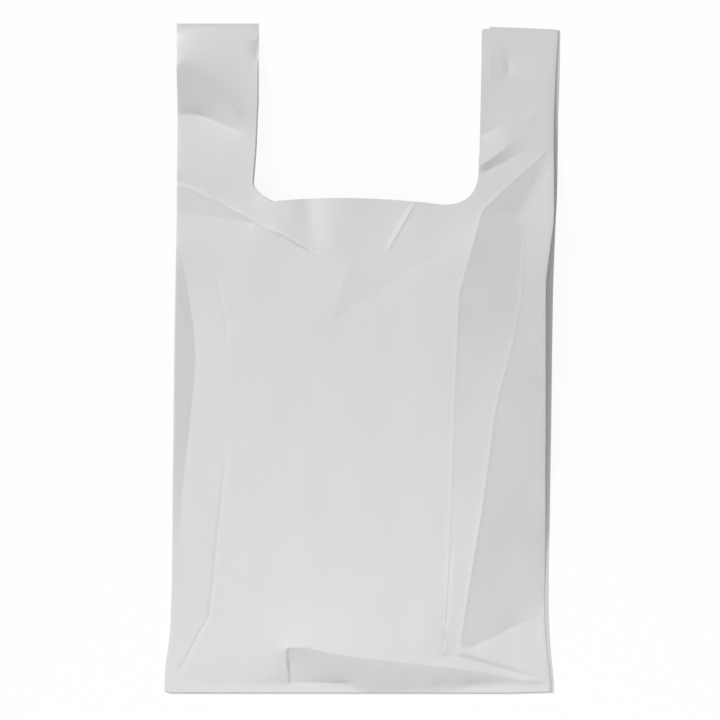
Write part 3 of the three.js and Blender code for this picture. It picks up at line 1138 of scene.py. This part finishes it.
def srgb(code: str) -> tuple[float, float, float, float]:
    """Turns a screen colour into linear light, by the sRGB curve.

    Args:
        code: The colour as a hex code.

    Returns:
        Red, green, blue and an alpha of one.
    """
    channels = [int(code[k : k + 2], 16) / 255 for k in (1, 3, 5)]
    linear = [c / 12.92 if c <= 0.04045 else ((c + 0.055) / 1.055) ** 2.4 for c in channels]
    return (*linear, 1.0)


Inputs = dict[str | int, Any]


def node(
    tree: NodeTree, kind: str, settings: Inputs | None = None, links: Inputs | None = None
) -> Node:
    """Adds a node.

    Args:
        tree: The node tree that it goes into.
        kind: Blender's name for the node.
        settings: Properties by name, and inputs by name or number, with their values.
        links: Inputs by name or number, with the output that feeds each.

    Returns:
        The new node.
    """
    made = tree.nodes.new(kind)
    for name, value in (settings or {}).items():
        if isinstance(name, str) and hasattr(made, name):
            setattr(made, name, value)
        else:
            made.inputs[name].default_value = value
    for name, output in (links or {}).items():
        tree.links.new(output, made.inputs[name])
    return made


def blank_material(name: str) -> Material:
    """Starts a material with an empty node tree.

    Args:
        name: The material's name.

    Returns:
        The material.
    """
    made = bpy.data.materials.new(name)
    made.use_nodes = True
    made.node_tree.nodes.clear()
    return made


@dataclass(frozen=True)
class BlownFilm:
    """High-density polyethylene, blown as a thin film with white pigment.

    It gives the eye a soft satin, lets some light through, is a little streaked along the tube and
    whitens where it has been creased; along raised creases that white is also a painted highlight.
    """

    colour: str = "#DADAD9"
    thick_colour: str = "#DDDDDC"
    # the colour of a creased line: crease whitening and a painted highlight
    crease_white_and_highlight_colour: str = "#E9E9E8"
    roughness: float = 0.42
    ior: float = 1.54
    lets_through: float = 0.08
    streak_mm: float = 9.0
    streak_stretch: float = 0.04
    crinkle_mm: float = 2.6
    crinkle_height_mm: float = 0.012

    def material(self) -> Material:
        """Mixes the satin and the light that comes through. Inputs 6 and 7 are a mix's colours.

        Returns:
            The material, with its pattern in the film's own directions.
        """
        made = blank_material("blown_hdpe_film")
        tree = made.node_tree
        place = node(tree, "ShaderNodeTexCoord").outputs["Object"]
        # The crease attribute lightens the colour: crease whitening, and a painted highlight along
        # raised creases.
        crease = node(tree, "ShaderNodeAttribute", {"attribute_name": "crease"}).outputs["Fac"]
        stretch = {"Scale": (1, self.streak_stretch, 1)}
        along = node(tree, "ShaderNodeMapping", stretch, {"Vector": place}).outputs["Vector"]
        soft = {"Scale": 1 / (self.streak_mm * MM), "Detail": 3.0, "Roughness": 0.55}
        streaks = node(tree, "ShaderNodeTexNoise", soft, {"Vector": along}).outputs["Fac"]
        tones = {"data_type": "RGBA", 6: srgb(self.colour), 7: srgb(self.thick_colour)}
        tone = node(tree, "ShaderNodeMix", tones, {0: streaks}).outputs[2]
        # Mixes in the crease colour, partly real whitening and partly painted highlight.
        whitening_and_highlight_mix = {"data_type": "RGBA", 7: srgb(self.crease_white_and_highlight_colour)}
        whitened_and_highlit = node(tree, "ShaderNodeMix", whitening_and_highlight_mix, {0: crease, 6: tone}).outputs[2]
        fine = {"Scale": 1 / (self.crinkle_mm * MM), "Detail": 4.0, "Roughness": 0.6}
        crinkle = node(tree, "ShaderNodeTexNoise", fine, {"Vector": place}).outputs["Fac"]
        height = {"Strength": 1.0, "Distance": self.crinkle_height_mm * MM}
        bump = node(tree, "ShaderNodeBump", height, {"Height": crinkle}).outputs["Normal"]
        satin = node(
            tree,
            "ShaderNodeBsdfPrincipled",
            {"Roughness": self.roughness, "IOR": self.ior},
            {"Base Color": whitened_and_highlit, "Normal": bump},
        )
        glow = node(tree, "ShaderNodeBsdfTranslucent", links={"Color": whitened_and_highlit, "Normal": bump})
        both = node(
            tree,
            "ShaderNodeMixShader",
            {0: self.lets_through},
            {1: satin.outputs["BSDF"], 2: glow.outputs["BSDF"]},
        )
        node(tree, "ShaderNodeOutputMaterial", links={"Surface": both.outputs["Shader"]})
        return made


@dataclass(frozen=True)
class PaperSweep:
    """White seamless paper: matt, and plain white to the camera, with the object's shadow kept."""

    colour: str = "#F4F4F4"
    plain_white: float = 0.93

    def material(self) -> Material:
        """Mixes light of its own, for the camera, with lit paper.

        Returns:
            The material.
        """
        made = blank_material("white_paper_sweep")
        tree = made.node_tree
        paper = node(tree, "ShaderNodeBsdfDiffuse", {"Color": srgb(self.colour)})
        white = node(tree, "ShaderNodeEmission", {"Color": (1, 1, 1, 1), "Strength": 1.0})
        part = {"operation": "MULTIPLY", 1: self.plain_white}
        share = node(tree, "ShaderNodeMath", part, {0: seen_directly(tree)})
        both = node(
            tree,
            "ShaderNodeMixShader",
            links={0: share.outputs[0], 1: paper.outputs["BSDF"], 2: white.outputs["Emission"]},
        )
        node(tree, "ShaderNodeOutputMaterial", links={"Surface": both.outputs["Shader"]})
        return made


def seen_directly(tree: NodeTree) -> NodeSocket:
    """Adds nodes that tell a ray that looks from one that lights the object.

    Args:
        tree: The node tree that they go into.

    Returns:
        One for a camera, glossy or transmission ray, and nought for any other.
    """
    ray = node(tree, "ShaderNodeLightPath").outputs
    seen = ray["Is Camera Ray"]
    for kind in ("Is Glossy Ray", "Is Transmission Ray"):
        either = node(tree, "ShaderNodeMath", {"operation": "MAXIMUM"}, {0: seen, 1: ray[kind]})
        seen = either.outputs[0]
    return seen


@dataclass(frozen=True)
class Studio:
    """The table, the light and the camera, which looks straight down on the bag. Sizes are metres."""

    table_width: float = 12.0
    sky: float = 0.33
    key_strength: float = 2.76
    key_from: Pair = (-0.7, 0.7)
    key_height: float = 28.0  # degrees above the table
    key_softness: float = 20.0  # degrees across
    top_power: float = 3.5
    top_width: float = 0.7
    top_place: tuple[float, float, float] = (0.0, -0.46, 1.0)
    lens: float = 150.0
    sensor: float = 36.0
    view_width: float = 0.5702
    view_centre: tuple[float, float, float] = (-0.0015, -0.0011, 0.010)

    def build(self) -> None:
        """Makes the camera, the lights and the table."""
        self.add_camera()
        self.add_lamps()
        self.add_sky()
        bpy.ops.object.select_all(action="DESELECT")
        bpy.ops.mesh.primitive_plane_add(size=self.table_width)
        table = bpy.context.object
        table.name = "table"
        table.data.materials.append(PaperSweep().material())

    def add_camera(self) -> None:
        """Puts the camera above the middle of the view, with the handles at the top of the picture."""
        data = bpy.data.cameras.new("camera")
        data.lens = self.lens
        data.sensor_width = self.sensor
        camera = placed("camera", data)
        height = self.view_width * self.lens / self.sensor
        camera.location = Vector(self.view_centre) + Vector((0, 0, height))
        bpy.context.scene.camera = camera

    def add_lamps(self) -> None:
        """Adds a large soft lamp from the upper left, and a panel overhead."""
        lamp = bpy.data.lights.new("key", "SUN")
        lamp.energy = self.key_strength
        lamp.angle = math.radians(self.key_softness)
        rise = math.radians(self.key_height)
        across = math.cos(rise) / math.hypot(*self.key_from)
        from_there = Vector((self.key_from[0] * across, self.key_from[1] * across, math.sin(rise)))
        placed("key", lamp).rotation_euler = from_there.to_track_quat("Z", "Y").to_euler()
        panel = bpy.data.lights.new("top", "AREA")
        panel.size = self.top_width
        panel.energy = self.top_power
        placed("top", panel).location = self.top_place

    def add_sky(self) -> None:
        """Puts a white room all round, dimmer as a light than it looks, and sets plain colours."""
        world = bpy.data.worlds.new("white_room")
        world.use_nodes = True
        tree = world.node_tree
        tree.nodes.clear()
        limits = {"From Min": 0.0, "From Max": 1.0, "To Min": self.sky, "To Max": 1.0}
        strength = node(tree, "ShaderNodeMapRange", limits, {"Value": seen_directly(tree)})
        white = {"Color": (1, 1, 1, 1)}
        sky = node(tree, "ShaderNodeBackground", white, {"Strength": strength.outputs["Result"]})
        node(tree, "ShaderNodeOutputWorld", links={"Surface": sky.outputs["Background"]})
        bpy.context.scene.world = world
        bpy.context.scene.view_settings.view_transform = "Standard"


def main() -> None:
    """Builds the studio and the bag, and writes down how big the result is."""
    logging.basicConfig(level=logging.INFO, format="%(message)s", stream=sys.stdout)
    Studio().build()
    bag = CarrierBag().build(BlownFilm().material())
    log.info("%s is dressed", bag.name)


if __name__ == "__main__":
    main()
